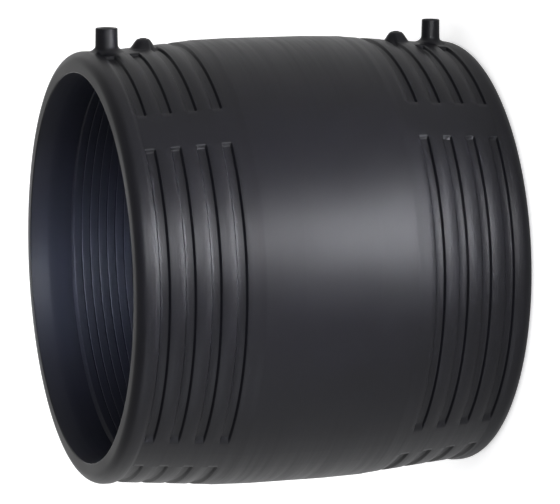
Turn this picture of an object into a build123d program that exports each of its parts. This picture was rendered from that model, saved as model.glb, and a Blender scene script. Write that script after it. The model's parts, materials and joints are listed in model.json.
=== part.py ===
from build123d import *

import os
from math import atan, cos, degrees, radians, sin, tan

# Electrofusion coupler for 250 mm polyethylene pipe.
#
# A moulded sleeve with a pipe socket at each end. A coated resistance wire is wound into the wall of both
# sockets and ends at two shrouded terminal pins. Current through the wire melts the socket onto the pipe.
#
# The origin is on the bore axis at mid-length. +Z runs along the bore, and the coupler stands on its lower
# end face. The terminals and the fusion indicators point along +X.

# ---------------------------------------------------------------- driving dimensions, mm and degrees

# Pipe socket
pipe_diameter = 250.0          # outside diameter of the pipe that each socket takes
pipe_clearance = 0.75          # radial gap between pipe and socket wall
lead_in_depth = 12.0           # tapered entry of each socket
lead_in_widening = 1.45        # how much wider the entry is at the mouth, on the radius
mouth_edge = 0.8               # bevel where the entry meets the end face

# Moulded wall
body_length = 262.0            # over both end faces
waist_wall = 21.25             # wall at mid-length, where the body is thickest
waist_half_length = 25.0       # the waist runs straight this far each way from mid-length
shoulder_start = 57.0          # from mid-length, where the barrel starts to fall faster
shoulder_start_fall = 1.4      # how much the barrel's radius has fallen there
barrel_fall = 6.9              # how much it has fallen at each end collar
collar_length = 11.0           # plain collar that stiffens each mouth
collar_rise = 0.9              # collar above the end of the barrel
collar_step = 2.0              # length of the sloping step from barrel to collar
end_rounding = 7.6             # outer corner of each end

# Channels that even out the wall's cooling
channel_count = 4              # at each end
first_channel = 16.9           # end face to the middle of the first channel
channel_pitch = 16.2
channel_width = 7.2            # at the barrel's surface
channel_depth = 2.1
channel_draft = 12.0           # slope of each side wall
crown_half_angle = 39.0        # channels over the terminals reach this far each way
flank_start = 49.5             # channels on each flank run between these two angles
flank_end = 133.5
keel_half_angle = 34.5         # channels opposite the terminals reach this far each way
plain_channels = 2             # outermost channels, which stop short of the terminal pad
pad_half_angle = 6.5

# Terminal shrouds and pins
terminal_offset = 19.1         # end face to the pin's axis
shroud_height = 15.7           # rim above the barrel
upper_shroud_radius = 7.15     # this shroud is the stouter of the two
lower_shroud_radius = 5.9
shroud_draft = 1.0             # slope of the shroud's side
shroud_bore = 4.75             # radius of the socket that the welding lead enters
shroud_depth = 13.2            # rim to the socket's floor
shroud_edge = 0.6              # bevel of the rim
shroud_foot = 4.4              # size of the flare from shroud to barrel
pin_radius = 2.0
pin_below_rim = 3.2
pin_tip_chamfer = 0.5
pin_shank_radius = 3.0         # wider shank that locks the pin in the moulding
pin_shank_length = 4.0         # from the shroud's floor inwards
pin_tail_radius = 1.3          # thinner tail that carries the wire

# Flared foot of every boss on the barrel
flare_knee = 0.3               # where the flare's slope changes, as a share of its size
flare_sink = 1.5               # how far it carries on below the barrel, which falls away round it

# Fusion indicators
indicator_offset = 43.7        # end face to the indicator's axis
indicator_height = 5.9         # boss above the barrel
indicator_boss_radius = 4.5
indicator_draft = 8.0          # slope of the boss's side
indicator_edge = 0.9           # bevel of the boss's rim
indicator_foot = 3.4           # size of the flare from boss to barrel
indicator_pin_radius = 2.0
indicator_clearance = 0.15
indicator_below_rim = 0.6
indicator_floor = 3.0          # plastic left between the well and the winding

# Heating winding: one coated wire, its turns fused side by side in each socket
cold_zone = 28.5               # mouth to the first turn
winding_turns = 10             # in each socket
winding_pitch = 6.0
winding_thickness = 3.0
winding_groove = 0.7           # how deep the seam between two turns is
lead_radius = 1.0              # coated wire where it runs singly

# Pipe stops
stop_count = 4
stop_height = 4.0
stop_length = 5.0              # along the bore
stop_angle = 7.0               # how far each stop reaches round the bore
stop_phase = 45.0

# ---------------------------------------------------------------- values that follow from them

seam_angle = (crown_half_angle + flank_start) / 2         # plain strip where the round surfaces close
bore_radius = pipe_diameter / 2 + pipe_clearance
waist_radius = bore_radius + waist_wall
half_length = body_length / 2
barrel_end = half_length - collar_length - collar_step     # from mid-length
barrel_end_radius = waist_radius - barrel_fall
collar_radius = barrel_end_radius + collar_rise
barrel_outline = (                                         # height from mid-length and radius
    (0, waist_radius),
    (waist_half_length, waist_radius),
    (shoulder_start, waist_radius - shoulder_start_fall),
    (barrel_end, barrel_end_radius),
)

winding_length = winding_turns * winding_pitch
winding_start = half_length - cold_zone                    # from mid-length, outer end of a winding
winding_end = winding_start - winding_length
winding_outer_radius = bore_radius + winding_thickness
lead_centre_radius = bore_radius + winding_thickness / 2
terminal_height = half_length - terminal_offset            # from mid-length
indicator_height_from_middle = half_length - indicator_offset


def barrel_stretch(height):
    """The straight stretch of the barrel's outline at a height: its start, its end and its radius at both."""
    reach = abs(height)
    for (start, start_radius), (end, end_radius) in zip(barrel_outline, barrel_outline[1:]):
        if reach <= end:
            break
    return start, end, start_radius, end_radius


def barrel_radius_at(height):
    """Radius of the barrel at a height above or below mid-length."""
    start, end, start_radius, end_radius = barrel_stretch(height)
    return start_radius + (end_radius - start_radius) * (abs(height) - start) / (end - start)


def barrel_slope_at(height):
    """How far the barrel's surface leans from the bore axis at that height, in degrees."""
    start, end, start_radius, end_radius = barrel_stretch(height)
    return degrees(atan((start_radius - end_radius) / (end - start)))


def section_plane(angle=0.0):
    """Half-plane through the bore axis: local x is the radius, local y the height from mid-length."""
    turn = radians(angle)
    return Plane(
        origin=(0, 0, 0),
        x_dir=(cos(turn), sin(turn), 0),
        z_dir=(sin(turn), -cos(turn), 0),
    )


def boss_plane(height):
    """Section through a boss: local x is the boss's radius, local y the distance from the bore axis."""
    return Plane(origin=(0, 0, height), x_dir=(0, 1, 0), z_dir=(0, 0, -1))


def boss_axis(height):
    """Axis of a boss, pointing out of the barrel."""
    return Axis((0, 0, height), (1, 0, 0))


def boss_section(radius, top, foot_level, foot, edge, draft):
    """Half-section of a round boss with a bevelled rim and a flared foot, in the boss plane."""
    root = radius + (top - foot_level - foot) * tan(radians(draft))
    knee = foot * flare_knee
    with BuildSketch() as section:
        with BuildLine():
            Polyline(
                (0, top),
                (radius - edge, top),
                (radius, top - edge),
                (root, foot_level + foot),
                (root + knee, foot_level + knee),
                (root + foot, foot_level - flare_sink),
                (root + foot, winding_outer_radius),
                (0, winding_outer_radius),
                close=True,
            )
        make_face()
    return section.sketch


def pin_section(rim):
    """Half-section of a terminal pin whose shroud ends at that distance from the bore axis."""
    tip = rim - pin_below_rim
    shank_top = rim - shroud_depth
    shank_bottom = shank_top - pin_shank_length
    tail_end = lead_centre_radius - lead_radius
    with BuildSketch() as section:
        with BuildLine():
            Polyline(
                (0, tip),
                (pin_radius - pin_tip_chamfer, tip),
                (pin_radius, tip - pin_tip_chamfer),
                (pin_radius, shank_top),
                (pin_shank_radius, shank_top),
                (pin_shank_radius, shank_bottom),
                (pin_tail_radius, shank_bottom),
                (pin_tail_radius, tail_end),
                (0, tail_end),
                close=True,
            )
        make_face()
    return section.sketch


def lead_runs():
    """The three straight runs of coated wire: pin to winding, winding to winding, winding to pin."""
    spans = (
        (-terminal_height, -winding_start),
        (-winding_end, winding_end),
        (winding_start, terminal_height),
    )
    with BuildPart() as runs:
        for low, high in spans:
            with BuildSketch(Plane.XY.offset(low)):
                with Locations((lead_centre_radius, 0)):
                    Circle(lead_radius)
            extrude(amount=high - low)
    return runs.part


def channel_cutter(start, sweep, first=0):
    """What the channels remove, from a given one inwards, over an arc that starts at an angle."""
    side_inset = channel_depth * tan(radians(channel_draft))
    with BuildPart() as cutter:
        with BuildSketch(section_plane(start)):
            for number in range(first, channel_count):
                height = half_length - first_channel - number * channel_pitch
                for side in (-1, 1):
                    middle = (barrel_radius_at(height), side * height)
                    with Locations(Location(middle, -side * barrel_slope_at(height))):
                        Polygon(
                            (-channel_depth, -channel_width / 2 + side_inset),
                            (-channel_depth, channel_width / 2 - side_inset),
                            (channel_depth, channel_width / 2 + side_inset),
                            (channel_depth, -channel_width / 2 - side_inset),
                            align=None,
                        )
        revolve(axis=Axis.Z, revolution_arc=sweep)
    return cutter.part


shroud_rim = barrel_radius_at(terminal_height) + shroud_height
indicator_rim = barrel_radius_at(indicator_height_from_middle) + indicator_height
well_floor = winding_outer_radius + indicator_floor


# ---------------------------------------------------------------- terminal pins

with BuildPart() as upper_terminal_pin:
    with BuildSketch(boss_plane(terminal_height)):
        add(pin_section(shroud_rim))
    revolve(axis=boss_axis(terminal_height))

with BuildPart() as lower_terminal_pin:
    with BuildSketch(boss_plane(-terminal_height)):
        add(pin_section(shroud_rim))
    revolve(axis=boss_axis(-terminal_height))


# ---------------------------------------------------------------- heating winding

with BuildPart() as heating_winding:
    for side in (-1, 1):
        with BuildSketch(section_plane(seam_angle)):
            with BuildLine():
                ridges = [(bore_radius + winding_groove, side * winding_end)]
                for turn in range(winding_turns):
                    inner_seam = winding_end + turn * winding_pitch
                    ridges.append((bore_radius, side * (inner_seam + winding_pitch / 2)))
                    ridges.append((bore_radius + winding_groove, side * (inner_seam + winding_pitch)))
                Polyline(
                    *ridges,
                    (winding_outer_radius, side * winding_start),
                    (winding_outer_radius, side * winding_end),
                    close=True,
                )
            make_face()
        revolve(axis=Axis.Z)
    add(lead_runs())
    add(upper_terminal_pin.part, mode=Mode.SUBTRACT)
    add(lower_terminal_pin.part, mode=Mode.SUBTRACT)


# ---------------------------------------------------------------- fusion indicators

indicator_length = indicator_rim - indicator_below_rim - well_floor

with BuildPart() as upper_fusion_indicator:
    with BuildSketch(Plane.YZ.offset(well_floor)):
        with Locations((0, indicator_height_from_middle)):
            Circle(indicator_pin_radius)
    extrude(amount=indicator_length)

with BuildPart() as lower_fusion_indicator:
    with BuildSketch(Plane.YZ.offset(well_floor)):
        with Locations((0, -indicator_height_from_middle)):
            Circle(indicator_pin_radius)
    extrude(amount=indicator_length)


# ---------------------------------------------------------------- moulded body

with BuildPart() as coupler_body:
    # Barrel, collars and the plain bore with its two tapered entries
    with BuildSketch(section_plane(seam_angle)):
        with BuildLine():
            mouth_radius = bore_radius + lead_in_widening
            rounding_centre = (collar_radius - end_rounding, half_length - end_rounding)
            corner = CenterArc(rounding_centre, end_rounding, 0, 90)
            Polyline(
                *((radius, height) for height, radius in barrel_outline),
                (collar_radius, half_length - collar_length),
                corner @ 0,
            )
            Polyline(
                corner @ 1,
                (mouth_radius + mouth_edge, half_length),
                (mouth_radius, half_length - mouth_edge),
                (bore_radius, half_length - lead_in_depth),
                (bore_radius, 0),
            )
            mirror(about=Plane.XZ)
        make_face()
    revolve(axis=Axis.Z)

    # Terminal shrouds, each with the socket for the welding lead
    for height, radius in ((terminal_height, upper_shroud_radius), (-terminal_height, lower_shroud_radius)):
        with BuildSketch(boss_plane(height)):
            foot_level = shroud_rim - shroud_height
            add(boss_section(radius, shroud_rim, foot_level, shroud_foot, shroud_edge, shroud_draft))
        revolve(axis=boss_axis(height))
        with BuildSketch(Plane.YZ.offset(shroud_rim)):
            with Locations((0, height)):
                Circle(shroud_bore)
        extrude(amount=-shroud_depth, mode=Mode.SUBTRACT)

    # Channels: over the crown, on both flanks and along the keel
    add(channel_cutter(-crown_half_angle, 2 * crown_half_angle, first=plain_channels), mode=Mode.SUBTRACT)
    for start in (-crown_half_angle, pad_half_angle):
        add(channel_cutter(start, crown_half_angle - pad_half_angle), mode=Mode.SUBTRACT)
    for start in (flank_start, -flank_end):
        add(channel_cutter(start, flank_end - flank_start), mode=Mode.SUBTRACT)
    add(channel_cutter(180 - keel_half_angle, 2 * keel_half_angle), mode=Mode.SUBTRACT)

    # Indicator bosses, each with the well for its pin
    for height in (indicator_height_from_middle, -indicator_height_from_middle):
        foot_level = indicator_rim - indicator_height
        with BuildSketch(boss_plane(height)):
            add(
                boss_section(
                    indicator_boss_radius,
                    indicator_rim,
                    foot_level,
                    indicator_foot,
                    indicator_edge,
                    indicator_draft,
                )
            )
        revolve(axis=boss_axis(height))
        with BuildSketch(Plane.YZ.offset(indicator_rim)):
            with Locations((0, height)):
                Circle(indicator_pin_radius + indicator_clearance)
        extrude(amount=well_floor - indicator_rim, mode=Mode.SUBTRACT)

    # Pipe stops at mid-length
    for stop in range(stop_count):
        middle_angle = stop_phase + stop * 360 / stop_count
        with BuildSketch(section_plane(middle_angle - stop_angle / 2)):
            with Locations((bore_radius, 0)):
                Rectangle(2 * stop_height, stop_length)
        revolve(axis=Axis.Z, revolution_arc=stop_angle)

    # Room for the winding, its leads and the two pins
    for side in (-1, 1):
        with BuildSketch(section_plane(seam_angle)):
            with Locations((bore_radius, side * (winding_start + winding_end) / 2)):
                Rectangle(2 * winding_thickness, winding_length)
        revolve(axis=Axis.Z, mode=Mode.SUBTRACT)
    add(lead_runs(), mode=Mode.SUBTRACT)
    add(upper_terminal_pin.part, mode=Mode.SUBTRACT)
    add(lower_terminal_pin.part, mode=Mode.SUBTRACT)


# ---------------------------------------------------------------- files, one for each piece

pieces = {
    "coupler_body": coupler_body,
    "heating_winding": heating_winding,
    "upper_terminal_pin": upper_terminal_pin,
    "lower_terminal_pin": lower_terminal_pin,
    "upper_fusion_indicator": upper_fusion_indicator,
    "lower_fusion_indicator": lower_fusion_indicator,
}

os.makedirs("parts", exist_ok=True)
for name, piece in pieces.items():
    piece.part.label = name
    export_step(piece.part, f"parts/{name}.step")
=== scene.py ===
import json
import logging
import math
from dataclasses import dataclass, field
from enum import Enum

import bpy
import numpy as np
from mathutils import Matrix, Vector


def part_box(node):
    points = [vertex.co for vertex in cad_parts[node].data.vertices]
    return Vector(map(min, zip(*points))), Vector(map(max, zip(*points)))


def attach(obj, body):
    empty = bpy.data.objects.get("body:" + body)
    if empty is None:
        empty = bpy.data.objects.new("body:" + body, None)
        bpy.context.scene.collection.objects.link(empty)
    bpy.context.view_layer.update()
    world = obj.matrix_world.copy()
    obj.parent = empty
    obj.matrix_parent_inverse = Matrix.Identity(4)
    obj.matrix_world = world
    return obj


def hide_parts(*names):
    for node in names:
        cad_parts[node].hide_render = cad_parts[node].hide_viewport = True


# Looks of an electrofusion coupler: a black moulded sleeve whose two sockets carry a heating winding.
# The sleeve stands on its lower end. Z is the bore axis, and the terminals point along X.

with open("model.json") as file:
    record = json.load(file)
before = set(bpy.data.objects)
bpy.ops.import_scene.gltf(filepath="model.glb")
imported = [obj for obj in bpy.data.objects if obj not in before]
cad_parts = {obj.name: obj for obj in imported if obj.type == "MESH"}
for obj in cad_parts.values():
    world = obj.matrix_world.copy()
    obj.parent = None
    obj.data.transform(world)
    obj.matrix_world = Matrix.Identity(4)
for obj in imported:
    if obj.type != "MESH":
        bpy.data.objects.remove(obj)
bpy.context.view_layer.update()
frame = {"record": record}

MM = 0.001
LOG = logging.getLogger("coupler")

# Decimal places kept in a height or an angle, so that equal ones merge, and the slack of a test for an edge.
DIGITS = 4
ROUNDING_ROOM = 1e-9
# Axes of a box.
X, Z = 0, 2

Point = tuple[float, float]
Place = tuple[float, float, float]
Face = tuple[int, ...]
Mesh = bpy.types.Mesh
Piece = bpy.types.Object
Material = bpy.types.Material
Tree = bpy.types.NodeTree
Node = bpy.types.Node
Socket = bpy.types.NodeSocket


# ---------------------------------------------------------------- shared helpers


def linear(hex_colour: str) -> tuple[float, float, float, float]:
    """Turns an sRGB hex colour into a linear colour.

    Args:
        hex_colour: Six hex digits after a hash sign.

    Returns:
        Linear red, green and blue, and an alpha of 1.
    """
    channels = [int(hex_colour[place:place + 2], 16) / 255 for place in (1, 3, 5)]
    curved = [c / 12.92 if c <= 0.04045 else ((c + 0.055) / 1.055) ** 2.4 for c in channels]
    return (curved[0], curved[1], curved[2], 1.0)


def add_node(tree: Tree, kind: str, inputs: dict | None = None, **settings: object) -> Node:
    """Adds a node, sets its properties, and fills or links its inputs.

    Args:
        tree: Tree that gets the node.
        kind: Node type name.
        inputs: Input name or index to a value, or to an output socket that is linked to it.
        **settings: Properties of the node.

    Returns:
        The new node.
    """
    node = tree.nodes.new(kind)
    for name, value in settings.items():
        setattr(node, name, value)
    for key, value in (inputs or {}).items():
        if isinstance(value, Socket):
            tree.links.new(value, node.inputs[key])
        else:
            node.inputs[key].default_value = value
    return node


def new_object(name: str, data: bpy.types.ID) -> Piece:
    """Links a mesh, a lamp or the camera to the scene as an object at the origin.

    Args:
        name: Object name.
        data: What the object shows.

    Returns:
        The object.
    """
    piece = bpy.data.objects.new(name, data)
    bpy.context.scene.collection.objects.link(piece)
    return piece


def mesh_from(name: str, points: np.ndarray, faces: list[Face]) -> Mesh:
    """Makes a smooth mesh from points in millimetres.

    Args:
        name: Mesh name.
        points: One row for each vertex.
        faces: Vertex numbers of each face, anticlockwise seen from outside.

    Returns:
        The mesh, in metres.
    """
    mesh = bpy.data.meshes.new(name)
    mesh.from_pydata((points * MM).tolist(), [], faces)
    mesh.validate()
    mesh.shade_smooth()
    return mesh


def band_faces(rows: int, steps: int, first: int = 0, closed: bool = False) -> list[Face]:
    """Joins rows of points, each of which closes on itself, into faces.

    Args:
        rows: Number of rows.
        steps: Points in a row.
        first: Number of the first row's first point.
        closed: Whether the last row is joined to the first.

    Returns:
        Four vertex numbers for each face.
    """
    faces = []
    for row in range(rows if closed else rows - 1):
        low = first + row * steps
        high = first + (row + 1) % rows * steps
        for step in range(steps):
            beside = (step + 1) % steps
            faces.append((low + step, high + step, high + beside, low + beside))
    return faces


def quarter_turn(steps: int) -> list[float]:
    """Angles from 0 to a quarter turn in equal steps, in radians."""
    return [math.radians(90 * step / steps) for step in range(steps + 1)]


def filled(places: set[float], longest: float) -> list[float]:
    """Divides each gap between heights or angles into equal cells.

    Args:
        places: Heights or angles.
        longest: Longest cell that may be left.

    Returns:
        The places and the cells' ends, in order.
    """
    ordered = sorted(places)
    ends = set(places)
    for low, high in zip(ordered[:-1], ordered[1:]):
        cells = math.ceil((high - low) / longest)
        ends.update(round(low + (high - low) * cell / cells, DIGITS) for cell in range(1, cells))
    return sorted(ends)


def bake_nodes(piece: Piece, tree: Tree, values: dict[str, object]) -> None:
    """Runs a geometry tree on a piece and keeps its result as the piece's plain mesh.

    Args:
        piece: Object whose mesh goes into the tree.
        tree: Geometry tree.
        values: Input name to its value.
    """
    modifier = piece.modifiers.new(tree.name, "NODES")
    modifier.node_group = tree
    sockets = [item for item in tree.interface.items_tree if item.in_out == "INPUT"]
    identifiers = {socket.name: socket.identifier for socket in sockets}
    for name, value in values.items():
        modifier[identifiers[name]] = value
    bpy.context.view_layer.update()
    evaluated = piece.evaluated_get(bpy.context.evaluated_depsgraph_get())
    baked = bpy.data.meshes.new_from_object(evaluated)
    piece.modifiers.clear()
    piece.data = baked
    baked.name = piece.name
    baked.shade_smooth()


def geometry_tree(name: str, floats: list[str]) -> tuple[Tree, Node]:
    """Starts a geometry tree with a geometry input, length inputs and a material input.

    Args:
        name: Tree name.
        floats: Names of the inputs that are numbers.

    Returns:
        The tree and its group input node.
    """
    tree = bpy.data.node_groups.new(name, "GeometryNodeTree")
    tree.interface.new_socket("Geometry", in_out="INPUT", socket_type="NodeSocketGeometry")
    for label in floats:
        tree.interface.new_socket(label, in_out="INPUT", socket_type="NodeSocketFloat")
    tree.interface.new_socket("Material", in_out="INPUT", socket_type="NodeSocketMaterial")
    tree.interface.new_socket("Geometry", in_out="OUTPUT", socket_type="NodeSocketGeometry")
    return tree, add_node(tree, "NodeGroupInput")


def close_tree(tree: Tree, source: Node, geometry: Socket) -> None:
    """Ends a geometry tree in real geometry with its material set.

    Args:
        tree: Geometry tree.
        source: Its group input node.
        geometry: Socket that gives the finished shape.
    """
    real = add_node(tree, "GeometryNodeRealizeInstances", {"Geometry": geometry})
    inputs = {"Geometry": real.outputs[0], "Material": source.outputs["Material"]}
    dressed = add_node(tree, "GeometryNodeSetMaterial", inputs)
    add_node(tree, "NodeGroupOutput", {"Geometry": dressed.outputs[0]})


def join(pieces: list[Piece], name: str) -> Piece:
    """Joins pieces that lie at the origin into one object.

    Args:
        pieces: Objects to join; the first one is kept.
        name: Name of the result.

    Returns:
        The joined object.
    """
    with bpy.context.temp_override(active_object=pieces[0], selected_editable_objects=pieces):
        bpy.ops.object.join()
    pieces[0].name = name
    pieces[0].data.name = name
    return pieces[0]


def span(node: str, axis: int) -> Point:
    """Low and high end of a CAD node along an axis, in mm."""
    low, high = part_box(node)
    return low[axis] / MM, high[axis] / MM


def place_piece(piece: Piece, node: str) -> None:
    """Lets a piece stand for a CAD node.

    Args:
        piece: Finished piece.
        node: CAD node that it replaces.
    """
    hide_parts(node)
    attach(piece, "root")
    LOG.info("%s stands for %s", piece.name, node)


# ---------------------------------------------------------------- finishes


@dataclass(frozen=True)
class Finish:
    """What every finish shares: a colour, a gloss and a fine relief. Sizes of patterns in mm."""

    name: str
    colour: str
    roughness: float
    relief_mm: float
    relief_depth_mm: float
    relief_detail: float = 2.0

    def pattern(self, tree: Tree, place: Socket) -> Socket:
        """Adds the pattern that the relief follows: grain, unless a finish has its own."""
        inputs = {"Vector": place, "Scale": 1 / (self.relief_mm * MM), "Detail": self.relief_detail}
        return add_node(tree, "ShaderNodeTexNoise", inputs).outputs["Fac"]

    def surface(self, tree: Tree, place: Socket) -> dict[str, object]:
        """Adds the finish's patterns.

        Args:
            tree: Tree of the material.
            place: Object coordinates.

        Returns:
            The shader's inputs by name.
        """
        height = {"Height": self.pattern(tree, place), "Distance": self.relief_depth_mm * MM}
        relief = add_node(tree, "ShaderNodeBump", height | {"Strength": 1.0})
        return {
            "Base Color": linear(self.colour),
            "Roughness": self.roughness,
            "Normal": relief.outputs["Normal"],
        }

    def material(self) -> Material:
        """Builds the material from the finish's patterns.

        Returns:
            The material.
        """
        material = bpy.data.materials.new(self.name)
        material.use_nodes = True
        tree = material.node_tree
        tree.nodes.clear()
        place = add_node(tree, "ShaderNodeTexCoord").outputs["Object"]
        shader = add_node(tree, "ShaderNodeBsdfPrincipled", self.surface(tree, place))
        add_node(tree, "ShaderNodeOutputMaterial", {"Surface": shader.outputs[0]})
        return material


@dataclass(frozen=True)
class Polyethylene(Finish):
    """What the plastics share: polyethylene's index, with the gloss held down as its waxy skin does."""

    specular: float = 0.20
    ior: float = 1.51

    def surface(self, tree: Tree, place: Socket) -> dict[str, object]:
        """Adds the finish's patterns, and gives the shader's inputs with the plastic's gloss."""
        return super().surface(tree, place) | {"IOR": self.ior, "Specular IOR Level": self.specular}


@dataclass(frozen=True)
class MouldedPolyethylene(Polyethylene):
    """Black high-density polyethylene, injection moulded: waxy, dark, with a soft broad gloss."""

    # The relief is the mould's grain, and the rings are the marks of the tool that turned the mould.
    # Both are under 0.2 mm on the real one. They are drawn coarser here, as far as they need to show.
    name: str = "moulded_polyethylene"
    colour: str = "#0a0a0e"
    bloom: str = "#0f0f14"
    roughness: float = 0.40
    roughness_change: float = 0.045
    relief_mm: float = 0.9
    relief_depth_mm: float = 0.012
    flow_mm: float = 22.0
    ring_mm: float = 3.2
    ring_draw: float = 0.035
    ring_depth_mm: float = 0.01
    cloud_detail: float = 3.0
    cloud_roughness: float = 0.55
    cloud_range: Point = (0.3, 0.7)

    def surface(self, tree: Tree, place: Socket) -> dict[str, object]:
        """Adds faint flow patches, the mould's grain and the rings of the turned mould.

        Args:
            tree: Tree of the material.
            place: Object coordinates.

        Returns:
            The shader's inputs by name.
        """
        values = super().surface(tree, place)
        stretch = {"Vector": place, "Scale": (self.ring_draw, self.ring_draw, 1.0)}
        drawn = add_node(tree, "ShaderNodeMapping", stretch)
        clouds = []
        for vector, size in ((place, self.flow_mm), (drawn.outputs[0], self.ring_mm)):
            inputs = {"Vector": vector, "Scale": 1 / (size * MM)}
            inputs |= {"Detail": self.cloud_detail, "Roughness": self.cloud_roughness}
            clouds.append(add_node(tree, "ShaderNodeTexNoise", inputs).outputs["Fac"])
        flow, rings = clouds
        # Inputs 6 and 7 of the mix are its two colours, and output 2 is the colour that it gives.
        blend = {0: flow, 6: linear(self.colour), 7: linear(self.bloom)}
        tone = add_node(tree, "ShaderNodeMix", blend, data_type="RGBA")
        dull = {
            "Value": rings,
            "From Min": self.cloud_range[0],
            "From Max": self.cloud_range[1],
            "To Min": self.roughness - self.roughness_change,
            "To Max": self.roughness + self.roughness_change,
        }
        gloss = add_node(tree, "ShaderNodeMapRange", dull)
        height = {"Height": rings, "Distance": self.ring_depth_mm * MM, "Strength": 1.0}
        ring_bump = add_node(tree, "ShaderNodeBump", height | {"Normal": values["Normal"]})
        return values | {
            "Base Color": tone.outputs[2],
            "Roughness": gloss.outputs["Result"],
            "Normal": ring_bump.outputs["Normal"],
        }


@dataclass(frozen=True)
class BorePaintedLightPolyethylene(MouldedPolyethylene):
    """The same polyethylene where a steel core shaped it: more even in gloss, and painted paler and bluer as
    painted light in the bore.
    """

    name: str = "bore_polyethylene_painted_paler"
    # Paler and bluer than the outside's colour: painted light for the reflected light inside the bore.
    colour: str = "#14151b"
    bloom: str = "#1b1c24"
    roughness: float = 0.42
    roughness_change: float = 0.03


@dataclass(frozen=True)
class WireCoat(Polyethylene):
    """Polyethylene skin of the heating wire, drawn and fused: black, rippled by the melt, painted paler and
    bluer as light in the bore.
    """

    name: str = "fused_wire_coat"
    # Paler and bluer than the sleeve's black: painted light for the brighter, bluish bore.
    colour: str = "#14151c"
    roughness: float = 0.42
    relief_mm: float = 2.4
    relief_depth_mm: float = 0.03


@dataclass(frozen=True)
class IndicatorResin(Polyethylene):
    """Polyethylene of the indicators' plugs, cut to length: dull, finely pitted, paler than the body."""

    name: str = "indicator_polyethylene"
    colour: str = "#37373a"
    roughness: float = 0.55
    relief_mm: float = 0.5
    relief_depth_mm: float = 0.02
    specular: float = 0.27
    ior: float = 1.5


@dataclass(frozen=True)
class TurnedBrass(Finish):
    """Brass turned on a lathe: yellow metal with fine rings round each pin."""

    # The tool's marks are about 0.15 mm apart on the real pin, and drawn 2.2 mm apart, so that they show.
    # The wave texture turns through 20 radians in a unit of scale, so relief_mm is that spacing over 2 pi.
    name: str = "turned_brass"
    colour: str = "#c9a45c"
    roughness: float = 0.28
    relief_mm: float = 0.35
    relief_depth_mm: float = 0.006
    waver: float = 0.4
    radians_per_unit: float = 20.0

    def pattern(self, tree: Tree, place: Socket) -> Socket:
        """Adds the turning rings. The pins lie along X, so the rings are bands along X.

        Args:
            tree: Tree of the material.
            place: Object coordinates.

        Returns:
            Height of the rings.
        """
        scale = 1 / (self.relief_mm * MM) / self.radians_per_unit
        inputs = {"Vector": place, "Scale": scale, "Distortion": self.waver}
        return add_node(tree, "ShaderNodeTexWave", inputs, bands_direction="X").outputs["Fac"]

    def surface(self, tree: Tree, place: Socket) -> dict[str, object]:
        """Adds the finish's patterns, and gives the shader's inputs for a metal."""
        return super().surface(tree, place) | {"Metallic": 1.0}


# ---------------------------------------------------------------- body


class Lane(Enum):
    """Which recess a ring of the wall belongs to; the value is the attribute that holds its share."""

    CROWN_OPEN = "channel_over_crown"
    PAD = "channel_beside_pad"
    STOP = "pipe_stop"


Ring = tuple[float, float, dict[Lane, float]]


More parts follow.
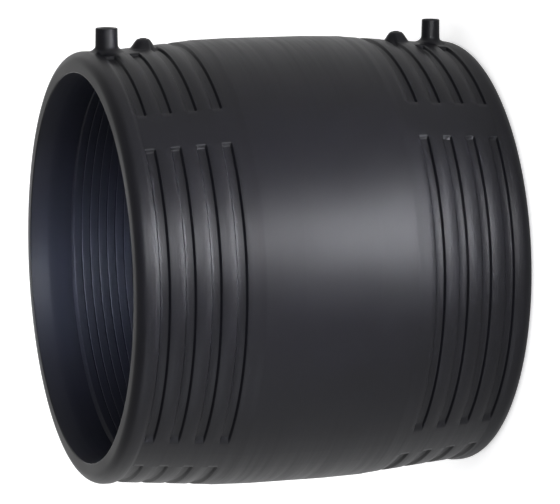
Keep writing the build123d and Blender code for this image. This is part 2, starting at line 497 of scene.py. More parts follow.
@dataclass
class CouplerBody:
    """The moulded sleeve: one closed wall, with channels outside and stops inside. Sizes in mm and degrees.

    A ring is a radius, a height, and the share of each recess's depth that it takes where the recess runs.
    """

    bore_radius: float
    waist_radius: float
    half_length: float
    shroud_rim: float
    terminal_height: float
    indicator_height: float
    barrel_fall: float = 6.9
    waist_half_length: float = 25.0
    shoulder_start: float = 50.5
    shoulder_start_fall: float = 1.28
    shoulder_step: float = 0.5
    shoulder_step_length: float = 4.0
    break_rounding: float = 0.7
    collar_length: float = 11.0
    collar_rise: float = 0.9
    collar_step: float = 2.0
    # The collar's first ring lies this far inside it, at this share of its step; the next is past the step.
    collar_foot: Point = (0.25, 0.72)
    collar_start: float = 1.25
    end_rounding: float = 7.6
    end_steps: int = 10
    # Plain rings that keep the end rounding and the mouth's edge crisp: how far each stands off them.
    end_rounding_margin: float = 0.6
    end_face_margins: Point = (2.0, 0.2)
    mouth_edge: float = 0.8
    mouth_steps: int = 4
    mouth_margin: Point = (0.05, 0.4)
    lead_in_depth: float = 12.0
    lead_in_widening: float = 1.45
    lead_in_shares: tuple[float, ...] = (0.3, 0.6, 0.92, 1.0, 1.08)
    winding_start: float = 102.5
    winding_end: float = 42.5
    winding_outer_radius: float = 128.75
    recess_margin: float = 0.25
    recess_edge: Point = (0.1, 0.05)
    channel_count: int = 4
    first_channel: float = 16.9
    channel_pitch: float = 16.2
    channel_width: float = 7.2
    channel_depth: float = 2.1
    wall_run: float = 1.25
    end_run: float = 2.6
    run_out: float = 7.0
    crown_half_angle: float = 39.0
    flank_start: float = 49.5
    flank_end: float = 133.5
    keel_half_angle: float = 34.5
    past_seam: float = 200.0
    pad_half_angle: float = 6.5
    plain_channels: int = 2
    bore_edge_margin: float = 0.6
    stop_count: int = 4
    stop_height: float = 4.0
    stop_length: float = 5.0
    stop_approach: float = 10.0
    # Share of a stop's height, and how far past the middle of its end wall.
    stop_wall: tuple[Point, ...] = ((0.0, 0.3), (0.35, 0.05), (0.9, -0.1), (1.0, -0.5))
    stop_angle: float = 7.0
    stop_phase: float = 45.0
    stop_wall_run: float = 0.8
    coarse_angle: float = 1.6
    coarse_height: float = 5.0
    wall_shares: tuple[float, ...] = (0.0, 0.13, 0.31, 0.5, 0.69, 0.87, 1.0)

    @property
    def barrel_end(self) -> float:
        """Height at which the barrel gives way to the collar."""
        return self.half_length - self.collar_length - self.collar_step

    @property
    def collar_radius(self) -> float:
        """Radius of the plain collar at each mouth."""
        return self.waist_radius - self.barrel_fall + self.collar_rise

    @property
    def shoulder_end(self) -> float:
        """Height at which the slight step at the shoulder's start is over."""
        return self.shoulder_start + self.shoulder_step_length

    def barrel_radius(self, height: float) -> float:
        """Works out the radius of the plain outer surface, collar included.

        Args:
            height: Height from mid-length, up or down.

        Returns:
            The radius, with no channel cut.
        """
        reach = abs(height)
        if reach <= self.barrel_end:
            before_step = self.shoulder_start_fall - self.shoulder_step
            falls = (0.0, 0.0, before_step, self.shoulder_start_fall, self.barrel_fall)
            places = (0.0, self.waist_half_length, self.shoulder_start, self.shoulder_end, self.barrel_end)
            return self.waist_radius - float(np.interp(reach, places, falls))
        step = min(1.0, (reach - self.barrel_end) / self.collar_step)
        return self.collar_radius - self.collar_rise * (1 - step)

    def channel_middles(self) -> list[tuple[float, Lane]]:
        """Lists the channels.

        Returns:
            Height of each channel's middle, with its lane.
        """
        middles = []
        for number in range(self.channel_count):
            lane = Lane.PAD if number < self.plain_channels else Lane.CROWN_OPEN
            height = self.half_length - self.first_channel - number * self.channel_pitch
            middles += [(height, lane), (-height, lane)]
        return middles

    def channel_share(self, height: float) -> dict[Lane, float]:
        """Works out how much of a channel's depth a height has. The walls are S-shaped.

        Args:
            height: Height from mid-length.

        Returns:
            Share from 0 to 1 of the lane whose channel is there, and nothing between channels.
        """
        for middle, lane in self.channel_middles():
            inside = self.channel_width / 2 - abs(height - middle)
            if inside > -ROUNDING_ROOM:
                step = min(1.0, max(0.0, inside / self.wall_run))
                return {lane: step * step * (3 - 2 * step)}
        return {}

    def outer_heights(self) -> list[float]:
        """Spaces the rings over the barrel.

        Returns:
            Their heights, close together on the channels' walls and round the barrel's breaks.
        """
        heights = {-self.barrel_end, self.barrel_end}
        for reach in (self.waist_half_length, self.shoulder_start, self.shoulder_end):
            for nearby in (reach - self.break_rounding, reach, reach + self.break_rounding):
                heights.update((-nearby, nearby))
        for middle, _ in self.channel_middles():
            heights.add(middle)
            for share in self.wall_shares:
                reach = self.channel_width / 2 - share * self.wall_run
                heights.update((middle - reach, middle + reach))
        return filled({round(height, DIGITS) for height in heights}, self.coarse_height)

    def end_rings(self) -> list[Ring]:
        """Leads the wall over the upper end.

        Returns:
            Rings from the barrel's edge over the collar and the end face to the start of the bore.
        """
        depth, share = self.collar_foot
        top, collar, mouth = self.half_length, self.collar_radius, self.bore_radius + self.lead_in_widening
        outline = [
            (collar - depth, self.barrel_end + share * self.collar_step),
            (collar, self.barrel_end + self.collar_start * self.collar_step),
            (collar, top - self.end_rounding - self.end_rounding_margin),
        ]
        for turn in quarter_turn(self.end_steps):
            inward, down = 1 - math.cos(turn), 1 - math.sin(turn)
            outline.append((collar - self.end_rounding * inward, top - self.end_rounding * down))
        outline += [(mouth + self.mouth_edge + margin, top) for margin in self.end_face_margins]
        for turn in quarter_turn(self.mouth_steps):
            outward, down = 1 - math.sin(turn), 1 - math.cos(turn)
            outline.append((mouth + self.mouth_edge * outward, top - self.mouth_edge * down))
        outline.append((mouth - self.mouth_margin[0], top - self.mouth_edge - self.mouth_margin[1]))
        return [(radius, height, {}) for radius, height in outline]

    def bore_rings(self) -> list[Ring]:
        """Leads the wall down the upper half of the bore.

        Returns:
            Rings from the tapered entry over the winding's recess to the stops' upper ends.
        """
        rings = []
        for reach in self.lead_in_shares:
            widening = self.lead_in_widening * max(0.0, 1 - reach)
            rings.append((self.bore_radius + widening, self.half_length - reach * self.lead_in_depth, {}))
        corner, past = self.recess_edge
        upper = [
            (self.bore_radius, self.recess_margin),
            (self.bore_radius + corner, past),
            (self.winding_outer_radius, 0.0),
        ]
        rings += [(radius, self.winding_start + off, {}) for radius, off in upper]
        rings += [(radius, self.winding_end - off, {}) for radius, off in reversed(upper)]
        rings.append((self.bore_radius, self.stop_approach, {}))
        for share, off in self.stop_wall:
            rings.append((self.bore_radius, self.stop_length / 2 + off, {Lane.STOP: share}))
        return rings

    def all_rings(self) -> list[Ring]:
        """Closes the wall's section into a loop.

        Returns:
            Rings up the outside, over the upper end, down the bore and round the lower end.
        """
        outside = [(self.barrel_radius(h), h, self.channel_share(h)) for h in self.outer_heights()]
        upper = self.end_rings() + self.bore_rings()
        return outside + upper + [(radius, -height, shares) for radius, height, shares in reversed(upper)]

    def channel_arcs(self, lane: Lane) -> list[Point]:
        """Lists the stretches that a lane's recesses run over.

        Args:
            lane: Which recesses.

        Returns:
            Start and end of each stretch, in degrees from the terminals, from -180 to 180 or past it.
        """
        if lane is Lane.STOP:
            half = self.stop_angle / 2
            turns = [stop * 360 / self.stop_count for stop in range(self.stop_count)]
            middles = [self.stop_phase + turn - 180 for turn in turns]
            return [(middle - half, middle + half) for middle in middles]
        one_side = [(self.flank_start, self.flank_end), (180 - self.keel_half_angle, self.past_seam)]
        if lane is Lane.PAD:
            one_side.append((self.pad_half_angle, self.crown_half_angle))
        arcs = one_side + [(-end, -start) for start, end in one_side]
        if lane is Lane.CROWN_OPEN:
            arcs.append((-self.crown_half_angle, self.crown_half_angle))
        return arcs

    def wall_angle(self, lane: Lane, place: float) -> float:
        """Works out the angle that an end wall takes up. The flanks' ends run out slowly.

        Args:
            lane: Which recess.
            place: Where the wall starts, in degrees.

        Returns:
            The angle in degrees.
        """
        if lane is Lane.STOP:
            return math.degrees(self.stop_wall_run / self.bore_radius)
        runs = {self.flank_end: self.run_out, self.flank_start: self.end_run}
        return math.degrees(runs.get(abs(place), self.wall_run) / self.waist_radius)

    def angles(self) -> list[float]:
        """Spaces the lines along the body.

        Returns:
            Their angles from -180, close together on the recesses' end walls.
        """
        found = {-180.0, 180.0}
        for lane in Lane:
            for start, end in self.channel_arcs(lane):
                for share in self.wall_shares:
                    found.add(round(start + share * self.wall_angle(lane, start), DIGITS))
                    found.add(round(end - share * self.wall_angle(lane, end), DIGITS))
        return filled({angle for angle in found if abs(angle) <= 180}, self.coarse_angle)[:-1]

    def carving_tree(self) -> Tree:
        """Makes the tree that pushes each ring's share of its recess into the wall, along its arcs.

        Returns:
            The geometry tree, with the depth of each lane as an input.
        """
        tree, source = geometry_tree("carve_wall", [lane.name for lane in Lane])
        position = add_node(tree, "GeometryNodeInputPosition")
        split = add_node(tree, "ShaderNodeSeparateXYZ", {0: position.outputs[0]}).outputs
        turn = add_node(tree, "ShaderNodeMath", {0: split["Y"], 1: split["X"]}, operation="ARCTAN2")
        outward = add_node(tree, "ShaderNodeCombineXYZ", {"X": split["X"], "Y": split["Y"]})
        unit = add_node(tree, "ShaderNodeVectorMath", {0: outward.outputs[0]}, operation="NORMALIZE")
        depth: Socket | float = 0.0
        for lane in Lane:
            label = {"Name": lane.value}
            share = add_node(tree, "GeometryNodeInputNamedAttribute", label, data_type="FLOAT")
            opening: Socket | float = 0.0
            for start, end in self.channel_arcs(lane):
                product = {2: opening}
                for side, (edge, sign) in enumerate(((start, 1), (end, -1))):
                    full = edge + sign * self.wall_angle(lane, edge)
                    inputs = {0: turn.outputs[0], 1: math.radians(edge), 2: math.radians(full)}
                    wall = add_node(tree, "ShaderNodeMapRange", inputs, interpolation_type="SMOOTHSTEP")
                    product[side] = wall.outputs[0]
                opening = add_node(tree, "ShaderNodeMath", product, operation="MULTIPLY_ADD").outputs[0]
            both = {0: opening, 1: share.outputs[0]}
            carved = add_node(tree, "ShaderNodeMath", both, operation="MULTIPLY")
            sunk = {0: carved.outputs[0], 1: source.outputs[lane.name], 2: depth}
            depth = add_node(tree, "ShaderNodeMath", sunk, operation="MULTIPLY_ADD").outputs[0]
        inward = {0: unit.outputs[0], "Scale": depth}
        push = add_node(tree, "ShaderNodeVectorMath", inward, operation="SCALE")
        inputs = {"Geometry": source.outputs["Geometry"], "Offset": push.outputs[0]}
        moved = add_node(tree, "GeometryNodeSetPosition", inputs)
        close_tree(tree, source, moved.outputs[0])
        return tree

    def wall(self, material: Material, bore_material: Material) -> Piece:
        """Builds the sleeve's wall, plain at first, and carves its channels and stops.

        Args:
            material: Finish of the wall.
            bore_material: Finish of the bore, from inside the mouth's rounded edge, painted paler as painted
                light.

        Returns:
            The wall as a plain mesh.
        """
        rings = self.all_rings()
        turns = np.radians(np.array(self.angles()))
        radii = np.array([ring[0] for ring in rings])
        grid = np.zeros((len(turns), len(rings), 3))
        grid[:, :, 0] = np.outer(np.cos(turns), radii)
        grid[:, :, 1] = np.outer(np.sin(turns), radii)
        grid[:, :, 2] = [ring[1] for ring in rings]
        faces = band_faces(len(turns), len(rings), closed=True)
        mesh = mesh_from("coupler_wall", grid.reshape(-1, 3), faces)
        for lane in Lane:
            shares = np.array([ring[2].get(lane, 0.0) for ring in rings], dtype=np.float32)
            layer = mesh.attributes.new(lane.value, "FLOAT", "POINT")
            layer.data.foreach_set("value", np.tile(shares, len(turns)))
        piece = new_object("coupler_wall", mesh)
        depths = {lane.name: -self.channel_depth * MM for lane in Lane}
        depths[Lane.STOP.name] = -self.stop_height * MM
        bake_nodes(piece, self.carving_tree(), depths | {"Material": material})
        for lane in Lane:
            piece.data.attributes.remove(piece.data.attributes[lane.value])
        # The bore's faces get the paler material, whose colour is painted light inside the bore.
        piece.data.materials.append(bore_material)
        bore_edge = self.bore_radius + self.lead_in_widening + self.bore_edge_margin
        bore_top = self.half_length - self.mouth_edge
        for polygon in piece.data.polygons:
            middle = polygon.center
            if math.hypot(middle.x, middle.y) < bore_edge * MM and abs(middle.z) < bore_top * MM:
                polygon.material_index = 1
        LOG.info("wall: %d lines, %d rings", len(turns), len(rings))
        return piece


class End(Enum):
    """Which socket a terminal or an indicator serves; the value is its side of mid-length."""

    UPPER = 1
    LOWER = -1

    def label(self, kind: str) -> str:
        """Name of a kind of part at this end, as the CAD nodes have it."""
        return f"{self.name.lower()}_{kind}"


@dataclass
class Boss:
    """A round boss that grows out of the barrel along X, with a foot that follows the barrel. Sizes in mm.

    The crest is the rounding of its rim, and the flare is how far its foot spreads. Each kind of boss says
    where it stands and draws its own side.
    """

    body: CouplerBody
    end: End
    radius: float
    hole_radius: float
    crest: float
    flare: float
    steps: int = 96
    foot_steps: int = 9
    sink: float = 0.12
    root_depth: float = 3.0
    widest_lip: float = 0.35
    lip_break: float = 0.3
    floor_cut: float = 0.3
    name: str = field(init=False)
    height: float = field(init=False)
    rim: float = field(init=False)
    hole_floor: float = field(init=False)

    def ground(self, across: float, height: float) -> float:
        """Distance along X from the bore axis to the body's surface under a point of the boss."""
        drop = self.body.channel_share(height).get(Lane.CROWN_OPEN, 0.0) * self.body.channel_depth
        return math.sqrt((self.body.barrel_radius(height) - drop) ** 2 - across**2)

    def ring(self, radius: float, level: float, rise: float = 1.0) -> list[Place]:
        """Points of one ring round the boss.

        Args:
            radius: Radius of the ring.
            level: Distance along X from the bore axis, or from the ground where the rise is 0.
            rise: Share of the way from the ground, at 0, to the level, at 1.

        Returns:
            One point for each step round the boss.
        """
        row = []
        for step in range(self.steps):
            turn = 2 * math.pi * step / self.steps
            across = radius * math.sin(turn)
            height = self.height + radius * math.cos(turn)
            ground = self.ground(across, height)
            along = ground + level if rise == 0.0 else ground + (level - ground) * rise
            row.append((along, across, height))
        return row

    def side_rings(self) -> list[list[Place]]:
        """Rings from under the ground up to the rim."""
        raise NotImplementedError

    def hole_rings(self) -> list[list[Place]]:
        """Leads the boss from its rim into its hole. Where the crest leaves no room, the lip stands up.

        Returns:
            Rings from the lip to the hole's floor.
        """
        lip = min(self.widest_lip, (self.radius - self.crest - self.hole_radius) / 2)
        cut = lip * self.lip_break
        edges = [(lip, self.rim), (cut, self.rim - cut), (0.0, self.rim - lip)]
        edges += [(0.0, self.hole_floor + self.floor_cut), (-self.floor_cut, self.hole_floor)]
        return [self.ring(self.hole_radius + widening, level) for widening, level in edges]

    def build(self, material: Material) -> Piece:
        """Builds the closed boss, hole included.

        Args:
            material: Finish of the boss.

        Returns:
            The boss as a plain mesh.
        """
        rings = self.side_rings() + self.hole_rings()
        faces = band_faces(len(rings), self.steps)
        faces.append(tuple(range(self.steps)))
        faces.append(tuple(reversed(range((len(rings) - 1) * self.steps, len(rings) * self.steps))))
        mesh = mesh_from(self.name, np.array([point for row in rings for point in row]), faces)
        mesh.materials.append(material)
        return new_object(self.name, mesh)


# ---------------------------------------------------------------- winding


@dataclass
class HeatingWinding:
    """Coated wire wound into both sockets, its turns fused side by side. Sizes in mm."""

    bore_radius: float
    outer_radius: float
    start: float
    end: float
    terminal_height: float
    turns: int = 10
    groove: float = 0.18
    lead_radius: float = 1.0
    seat_room: float = 0.02
    helix_steps: int = 120
    wire_steps: int = 14
    sleeve_steps: int = 180
    lead_steps: int = 12

    def tree(self) -> Tree:
        """Makes the tree: one socket's helix and sleeve, set at both sockets, with the straight leads.

        Returns:
            The geometry tree, with the winding's sizes as inputs.
        """
        names = ["Crest Radius", "Outer Radius", "Groove", "Pitch", "Length", "Turns"]
        names += ["Middle", "Lead", "Reach"]
        tree, source = geometry_tree("wind_sockets", names)
        sizes = {name: source.outputs[name] for name in names}
        for name, first, operation, second in (
            ("coil radius", "Crest Radius", "ADD", "Groove"),
            ("rotations", "Turns", "SUBTRACT", 1.0),
            ("rise", "rotations", "MULTIPLY", "Pitch"),
            ("half pitch", "Pitch", "MULTIPLY", 0.5),
            ("coil start", "rise", "MULTIPLY", -0.5),
            ("both radii", "coil radius", "ADD", "Outer Radius"),
            ("sleeve radius", "both radii", "MULTIPLY", 0.5),
            ("sleeve wall", "Outer Radius", "SUBTRACT", "coil radius"),
            ("lower middle", "Middle", "MULTIPLY", -1.0),
            ("lead place", "Outer Radius", "SUBTRACT", "Lead"),
            ("lower reach", "Reach", "MULTIPLY", -1.0),
        ):
            terms = {0: sizes[first], 1: sizes.get(second, second)}
            sizes[name] = add_node(tree, "ShaderNodeMath", terms, operation=operation).outputs[0]
        points = {}
        for name, parts in {
            "wire shape": {"X": sizes["Groove"], "Y": sizes["half pitch"], "Z": 1.0},
            "coil start": {"Z": sizes["coil start"]},
            "lower middle": {"Z": sizes["lower middle"]},
            "upper middle": {"Z": sizes["Middle"]},
            "lead start": {"X": sizes["lead place"], "Z": sizes["lower reach"]},
            "lead end": {"X": sizes["lead place"], "Z": sizes["Reach"]},
        }.items():
            points[name] = add_node(tree, "ShaderNodeCombineXYZ", parts).outputs[0]
        turned = {"Resolution": self.helix_steps, "Rotations": sizes["rotations"], "Height": sizes["rise"]}
        turned |= {"Start Radius": sizes["coil radius"], "End Radius": sizes["coil radius"]}
        helix = add_node(tree, "GeometryNodeCurveSpiral", turned)
        circles = []
        for steps, radius in (
            (self.wire_steps, 1.0),
            (self.sleeve_steps, sizes["sleeve radius"]),
            (self.lead_steps, sizes["Lead"]),
        ):
            inputs = {"Resolution": steps, "Radius": radius}
            circles.append(add_node(tree, "GeometryNodeCurvePrimitiveCircle", inputs).outputs[0])
        wire_circle, sleeve_circle, lead_section = circles
        flattened = {"Geometry": wire_circle, "Scale": points["wire shape"]}
        wire_section = add_node(tree, "GeometryNodeTransform", flattened)
        wall = {"Width": sizes["sleeve wall"], "Height": sizes["Length"]}
        slab = add_node(tree, "GeometryNodeCurvePrimitiveQuadrilateral", wall)
        ends = {"Start": points["lead start"], "End": points["lead end"]}
        lead = add_node(tree, "GeometryNodeCurvePrimitiveLine", ends)
        upright = [
            add_node(tree, "GeometryNodeSetCurveNormal", {"Curve": curve}, mode="Z_UP").outputs[0]
            for curve in (helix.outputs[0], sleeve_circle)
        ]
        swept = []
        for curve, section, capped in (
            (upright[0], wire_section.outputs[0], True),
            (upright[1], slab.outputs[0], False),
            (lead.outputs[0], lead_section, True),
        ):
            inputs = {"Curve": curve, "Profile Curve": section, "Fill Caps": capped}
            swept.append(add_node(tree, "GeometryNodeCurveToMesh", inputs).outputs[0])
        coil, sleeve, leads = swept
        lowered = {"Geometry": coil, "Translation": points["coil start"]}
        centred = add_node(tree, "GeometryNodeTransform", lowered)
        socket = add_node(tree, "GeometryNodeJoinGeometry", {"Geometry": centred.outputs[0]})
        tree.links.new(sleeve, socket.inputs["Geometry"])
        middles = {"Count": 2, "Start Location": points["lower middle"], "Offset": points["upper middle"]}
        places = add_node(tree, "GeometryNodeMeshLine", middles, mode="END_POINTS")
        copies = {"Points": places.outputs[0], "Instance": socket.outputs[0]}
        both = add_node(tree, "GeometryNodeInstanceOnPoints", copies)
        whole = add_node(tree, "GeometryNodeJoinGeometry", {"Geometry": both.outputs[0]})
        tree.links.new(leads, whole.inputs["Geometry"])
        close_tree(tree, source, whole.outputs[0])
        return tree

    def build(self, material: Material) -> Piece:
        """Winds both sockets.

        Args:
            material: Finish of the coated wire.

        Returns:
            The winding as a plain mesh.
        """
        piece = new_object("heating_winding_wound", bpy.data.meshes.new("heating_winding_wound"))
        length = self.start - self.end
        values = {
            "Crest Radius": self.bore_radius * MM,
            "Outer Radius": (self.outer_radius - self.seat_room) * MM,
            "Groove": self.groove * MM,
            "Pitch": length / self.turns * MM,
            "Length": (length - 2 * self.seat_room) * MM,
            "Turns": float(self.turns),
            "Middle": (self.start + self.end) / 2 * MM,
            "Lead": self.lead_radius * MM,
            "Reach": self.terminal_height * MM,
            "Material": material,
        }
        bake_nodes(piece, self.tree(), values)
        LOG.info("winding: %d faces", len(piece.data.polygons))
        return piece


# ---------------------------------------------------------------- terminals and indicators


def rounded_corners(outline: list[Point], rounding: float, most: float = 0.45) -> list[Point]:
    """Rounds the corners of a turned outline.

    Args:
        outline: Distance along X and radius of each corner.
        rounding: How far each corner is cut back along both sides, in mm.
        most: Largest share of a side that a cut may take.

    Returns:
        The outline with three points in place of each corner between its ends.
    """
    # The middle point of three is where a curve between the two cuts, drawn by the corner, passes.
    corners = np.array(outline)
    rounded = [corners[0]]
    for before, corner, after in zip(corners[:-2], corners[1:-1], corners[2:]):
        cuts = []
        for neighbour in (before, after):
            share = min(rounding / math.dist(corner, neighbour), most)
            cuts.append(corner + (neighbour - corner) * share)
        rounded += [cuts[0], corner / 2 + (cuts[0] + cuts[1]) / 4, cuts[1]]
    rounded.append(corners[-1])
    return [(float(along), float(radius)) for along, radius in rounded]


@dataclass
class TurnedPiece:
    """A solid of revolution about a line along X. Sizes in mm.

    Its outline is a list of distance along X and radius, whose first and last radius are 0.
    """

    name: str
    height: float
    outline: list[Point]
    steps: int = 48

    def build(self, material: Material) -> Piece:
        """Turns the outline.

        Args:
            material: Finish of the piece.

        Returns:
            The turned piece.
        """
        points = [(self.outline[0][0], 0.0, self.height)]
        for along, radius in self.outline[1:-1]:
            for step in range(self.steps):
                turn = 2 * math.pi * step / self.steps
                points.append((along, radius * math.sin(turn), self.height + radius * math.cos(turn)))
        points.append((self.outline[-1][0], 0.0, self.height))
        faces = band_faces(len(self.outline) - 2, self.steps, first=1)
        tip = len(points) - 1
        rim = tip - self.steps
        for step in range(self.steps):
            beside = (step + 1) % self.steps
            faces += [(0, 1 + step, 1 + beside), (tip, rim + beside, rim + step)]
        mesh = mesh_from(self.name, np.array(points), faces)
        mesh.materials.append(material)
        return new_object(self.name, mesh)


@dataclass
class Terminal(Boss):
    """A shroud of the moulding, on a hollow fillet, and the brass pin that stands in it. Sizes in mm."""

    hole_radius: float = 4.75
    crest: float = 0.6
    flare: float = 5.8
    crest_steps: int = 6
    draft_angle: float = 1.0
    fillet_height: float = 4.4
    hole_depth: float = 13.2
    tail_radius: float = 1.3
    shank_radius: float = 3.0
    shank_length: float = 4.0
    pin_radius: float = 2.0
    tip_radius: float = 1.5
    tip_length: float = 0.5
    pin_rounding: float = 0.18

    def __post_init__(self) -> None:
        """Stands the shroud at its end's terminal."""
        self.name = self.end.label("shroud")
        self.height = self.end.value * self.body.terminal_height
        self.rim = self.body.shroud_rim
        self.hole_floor = self.rim - self.hole_depth

    def side_rings(self) -> list[list[Place]]:
        """Draws the shroud's side.

        Returns:
            Rings from under the ground up a hollow fillet and a straight side to a rounded rim.
        """
        straight = self.rim - self.crest - self.ground(0.0, self.height) - self.fillet_height
        root = self.radius + math.tan(math.radians(self.draft_angle)) * straight
        rings = [self.ring(root + self.flare + self.sink, -self.root_depth, 0.0)]
        for step, turn in enumerate(quarter_turn(self.foot_steps)):
            level = self.fillet_height * (1 - math.cos(turn)) - self.sink * (1 - step / self.foot_steps)
            rings.append(self.ring(root + self.flare * (1 - math.sin(turn)), level, 0.0))
        for turn in quarter_turn(self.crest_steps):
            reach = self.radius - self.crest * (1 - math.cos(turn))
            rings.append(self.ring(reach, self.rim - self.crest * (1 - math.sin(turn))))
        return rings

    def place_pin(self, material: Material) -> None:
        """Turns the pin and lets it stand for its CAD node.

        Args:
            material: Finish of the pin.
        """
        node = self.end.label("terminal_pin")
        tail, tip = span(node, X)
        floor, shank, neck = self.hole_floor, self.hole_floor - self.shank_length, tip - self.tip_length
        outline = [(tail, 0.0), (tail, self.tail_radius), (shank, self.tail_radius)]
        outline += [(shank, self.shank_radius), (floor, self.shank_radius), (floor, self.pin_radius)]
        outline += [(neck, self.pin_radius), (tip, self.tip_radius), (tip, 0.0)]
        middle = sum(span(node, Z)) / 2
        pin = TurnedPiece(f"{node}_turned", middle, rounded_corners(outline, self.pin_rounding))
        place_piece(pin.build(material), node)


@dataclass
class Indicator(Boss):
    """A bell-shaped dome of the moulding, and the plug that rises in it once its socket has fused."""

    radius: float = 2.95
    hole_radius: float = 2.15
    crest: float = 1.5
    flare: float = 7.0
    steps: int = 64
    dome_rise: float = 5.9
    floor_rise: float = 1.0
    plug_radius: float = 2.0
    plug_rounding: float = 0.35

    def __post_init__(self) -> None:
        """Stands the dome at its end's indicator."""
        ground = self.body.barrel_radius(self.body.indicator_height)
        self.name = self.end.label("dome")
        self.height = self.end.value * self.body.indicator_height
        self.rim = ground + self.dome_rise
        self.hole_floor = ground + self.floor_rise

    def side_rings(self) -> list[list[Place]]:
        """Draws the dome's side.

        Returns:
            Rings from under the ground up one curve, level at its foot and at its rim.
        """
        rings = [self.ring(self.radius + self.flare + self.sink, -self.root_depth, 0.0)]
        rings.append(self.ring(self.radius + self.flare, -self.sink, 0.0))
        steps = 2 * self.foot_steps
        for share in (step / steps for step in range(1, steps + 1)):
            rise = (1 - math.cos(math.pi * share)) / 2
            rings.append(self.ring(self.radius + self.flare * (1 - share), self.rim, rise))
        return rings

    def place_plug(self, material: Material) -> None:
        """Shapes the plug and lets it stand for its CAD node.

        Args:
            material: Finish of the plug.
        """
        node = self.end.label("fusion_indicator")
        base, top = span(node, X)
        outline = [(base, 0.0), (base, self.plug_radius), (top, self.plug_radius), (top, 0.0)]
        middle = sum(span(node, Z)) / 2
        plug = TurnedPiece(f"{node}_moulded", middle, rounded_corners(outline, self.plug_rounding))
        place_piece(plug.build(material), node)


# ---------------------------------------------------------------- studio


@dataclass(frozen=True)
class SoftBox:
    """A soft lamp. Lengths in metres; its turn is from the front, towards the terminals, in degrees.

    The lamp and the point that it faces are both given by a distance from the bore axis and a height.
    """

    name: str
    turn: float
    place: Point
    aim: Point
    size: Point
    power: float
    tint: str
    spread: float = 180.0

    def hang(self) -> None:
        """Hangs the lamp where it lights the object and isn't seen itself."""
        lamp = bpy.data.lights.new(self.name, "AREA")
        lamp.shape = "RECTANGLE"
        lamp.size, lamp.size_y = self.size
        lamp.energy = self.power
        lamp.color = linear(self.tint)[:3]
        lamp.spread = math.radians(self.spread)
        turn = math.radians(self.turn)
        outward = Vector((math.sin(turn), -math.cos(turn), 0.0))
        upward = Vector((0.0, 0.0, 1.0))
        place = outward * self.place[0] + upward * self.place[1]
        back = (place - outward * self.aim[0] - upward * self.aim[1]).normalized()
        across = Vector((math.cos(turn), math.sin(turn), 0.0))
        turned = Matrix((across, back.cross(across), back)).transposed()
        stand = new_object(self.name, lamp)
        stand.matrix_world = Matrix.Translation(place) @ turned.to_4x4()
        stand.visible_camera = False


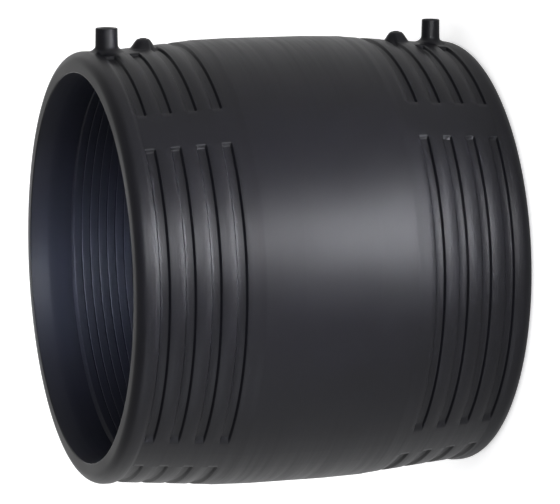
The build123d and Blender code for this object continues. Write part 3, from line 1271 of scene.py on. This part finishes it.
@dataclass
class Studio:
    """White floor, even white surroundings, soft lamps and the camera. Lengths in metres."""

    floor_height: float
    # Each lamp: turn, place, aim, width and height, watts, tint and spread.
    lamps: tuple[SoftBox, ...] = (
        SoftBox("key_lamp", 18.5, (0.52, 0.012), (0.0, 0.012), (0.17, 0.28), 1.15, "#fbfbff"),
        SoftBox("floor_wash", 18.5, (0.44, 0.77), (0.44, -0.131), (0.13, 0.36), 4.5, "#f6f8ff", 15.0),
        SoftBox("rim_lamp", 18.5, (0.575, 0.24), (0.14, 0.125), (0.17, 0.24), 0.08, "#f6f8ff", 30.0),
        SoftBox("mouth_lamp", 12.0, (0.70, 0.55), (-0.12, 0.095), (0.08, 0.08), 0.10, "#e6f0ff", 11.0),
        SoftBox("back_lamp", 190.0, (0.52, 0.012), (0.0, 0.012), (0.17, 0.28), 0.6, "#fbfbff"),
        SoftBox("fill_lamp", -48.0, (1.40, 0.30), (0.0, 0.30), (0.90, 0.80), 3.2, "#eef2ff"),
    )
    camera_distance: float = 2.2618
    camera_turn: float = 18.372
    camera_rise: float = 9.214
    camera_roll: float = 0.219
    lens_mm: float = 219.3
    sensor_mm: float = 36.0
    sight: float = 50.0
    sideways_shift: float = 0.0176
    upward_shift: float = 0.0123
    floor_half: float = 12.0
    floor_colour: str = "#f2f2f2"
    floor_lift: float = 0.44
    surround: float = 0.9
    overhead: float = 0.35
    horizon_top: float = 0.15
    overhead_start: float = 0.5

    def camera_place(self) -> Vector:
        """Works out where the camera stands: in front, raised, a little towards the terminals.

        Returns:
            The place, from the middle of the coupler.
        """
        rise = math.radians(self.camera_rise)
        turn = math.radians(self.camera_turn)
        level = math.cos(rise)
        direction = Vector((math.sin(rise), -level * math.cos(turn), level * math.sin(turn)))
        return self.camera_distance * direction

    def set_camera(self) -> None:
        """Makes the camera, which holds the terminals at the top of its view."""
        place = self.camera_place()
        forward = -place.normalized()
        right = forward.cross(Vector((1, 0, 0))).normalized()
        up = right.cross(forward)
        roll = math.radians(self.camera_roll)
        level_right = right * math.cos(roll) + up * math.sin(roll)
        level_up = up * math.cos(roll) - right * math.sin(roll)
        camera = bpy.data.cameras.new("camera")
        camera.lens = self.lens_mm
        camera.sensor_width = self.sensor_mm
        camera.shift_x = self.sideways_shift
        camera.shift_y = self.upward_shift
        camera.clip_end = self.sight
        stand = new_object("camera", camera)
        turned = Matrix((level_right, level_up, -forward)).transposed()
        stand.matrix_world = Matrix.Translation(place) @ turned.to_4x4()
        bpy.context.scene.camera = stand

    def set_floor(self) -> None:
        """Lays the floor, which is white to the camera and keeps the object's shadow."""
        material = bpy.data.materials.new("white_studio_floor")
        material.use_nodes = True
        tree = material.node_tree
        tree.nodes.clear()
        matt = add_node(tree, "ShaderNodeBsdfDiffuse", {"Color": linear(self.floor_colour)})
        path = add_node(tree, "ShaderNodeLightPath")
        seen = {0: path.outputs["Is Camera Ray"], 1: self.floor_lift}
        lift = add_node(tree, "ShaderNodeMath", seen, operation="MULTIPLY")
        glow = add_node(tree, "ShaderNodeEmission", {"Strength": lift.outputs[0]})
        both = add_node(tree, "ShaderNodeAddShader", {0: matt.outputs[0], 1: glow.outputs[0]})
        add_node(tree, "ShaderNodeOutputMaterial", {"Surface": both.outputs[0]})
        mesh = bpy.data.meshes.new("floor")
        corners = [(-1, -1), (1, -1), (1, 1), (-1, 1)]
        points = [(x * self.floor_half, y * self.floor_half, self.floor_height) for x, y in corners]
        mesh.from_pydata(points, [], [(0, 1, 2, 3)])
        mesh.materials.append(material)
        new_object("floor", mesh)

    def set_surroundings(self) -> None:
        """Makes the surroundings: an even light, which shows as white sky that dims overhead."""
        world = bpy.data.worlds.new("surroundings")
        world.use_nodes = True
        tree = world.node_tree
        tree.nodes.clear()
        path = add_node(tree, "ShaderNodeLightPath")
        shown = path.outputs["Is Camera Ray"]
        for ray in ("Is Glossy Ray", "Is Transmission Ray"):
            rays = {0: shown, 1: path.outputs[ray]}
            shown = add_node(tree, "ShaderNodeMath", rays, operation="MAXIMUM").outputs[0]
        direction = add_node(tree, "ShaderNodeTexCoord")
        split = add_node(tree, "ShaderNodeSeparateXYZ", {0: direction.outputs["Generated"]})
        fade = {"Value": split.outputs["Z"], "From Min": self.horizon_top, "From Max": self.overhead_start}
        sky = add_node(tree, "ShaderNodeMapRange", fade | {"To Min": 1.0, "To Max": self.overhead})
        levels = {"Value": shown, "To Min": self.surround, "To Max": sky.outputs[0]}
        strength = add_node(tree, "ShaderNodeMapRange", levels)
        white = {"Color": (1.0, 1.0, 1.0, 1.0), "Strength": strength.outputs[0]}
        light = add_node(tree, "ShaderNodeBackground", white)
        add_node(tree, "ShaderNodeOutputWorld", {"Surface": light.outputs[0]})
        bpy.context.scene.world = world

    def build(self) -> None:
        """Sets up the floor, the light and the camera."""
        self.set_floor()
        self.set_surroundings()
        for lamp in self.lamps:
            lamp.hang()
        self.set_camera()
        bpy.context.scene.view_settings.view_transform = "Standard"


# ---------------------------------------------------------------- assembly


def body_from_frame() -> CouplerBody:
    """Takes the body's main sizes from the CAD model.

    Returns:
        The body, with its mounts and outer size as the frame gives them.
    """
    mounts = {mount["name"]: mount for mount in frame["record"]["mounts"]}
    back, shroud_rim = span("coupler_body", X)
    return CouplerBody(
        bore_radius=mounts["upper_socket"]["dims"]["r_mm"],
        waist_radius=-back,
        half_length=span("coupler_body", Z)[1],
        shroud_rim=shroud_rim,
        terminal_height=mounts["upper_terminal"]["pos_m"][2] / MM,
        indicator_height=sum(span("upper_fusion_indicator", Z)) / 2,
    )


def main() -> None:
    """Builds the coupler's looks and the studio around it."""
    logging.basicConfig(level=logging.INFO, format="%(name)s: %(message)s")
    body = body_from_frame()
    terminals = (Terminal(body, End.UPPER, radius=7.15), Terminal(body, End.LOWER, radius=5.9))
    indicators = (Indicator(body, End.UPPER), Indicator(body, End.LOWER))
    plastic = MouldedPolyethylene().material()
    # The bore's material is a paler copy of the plastic, painted light inside the bore.
    parts = [body.wall(plastic, BorePaintedLightPolyethylene().material())]
    for terminal, indicator in zip(terminals, indicators):
        parts += [terminal.build(plastic), indicator.build(plastic)]
    place_piece(join(parts, "moulded_body"), "coupler_body")
    winding = HeatingWinding(
        bore_radius=body.bore_radius,
        outer_radius=body.winding_outer_radius,
        start=body.winding_start,
        end=body.winding_end,
        terminal_height=body.terminal_height,
    )
    place_piece(winding.build(WireCoat().material()), "heating_winding")
    brass, resin = TurnedBrass().material(), IndicatorResin().material()
    for terminal, indicator in zip(terminals, indicators):
        terminal.place_pin(brass)
        indicator.place_plug(resin)
    Studio(floor_height=-body.half_length * MM).build()


if __name__ == "__main__":
    main()
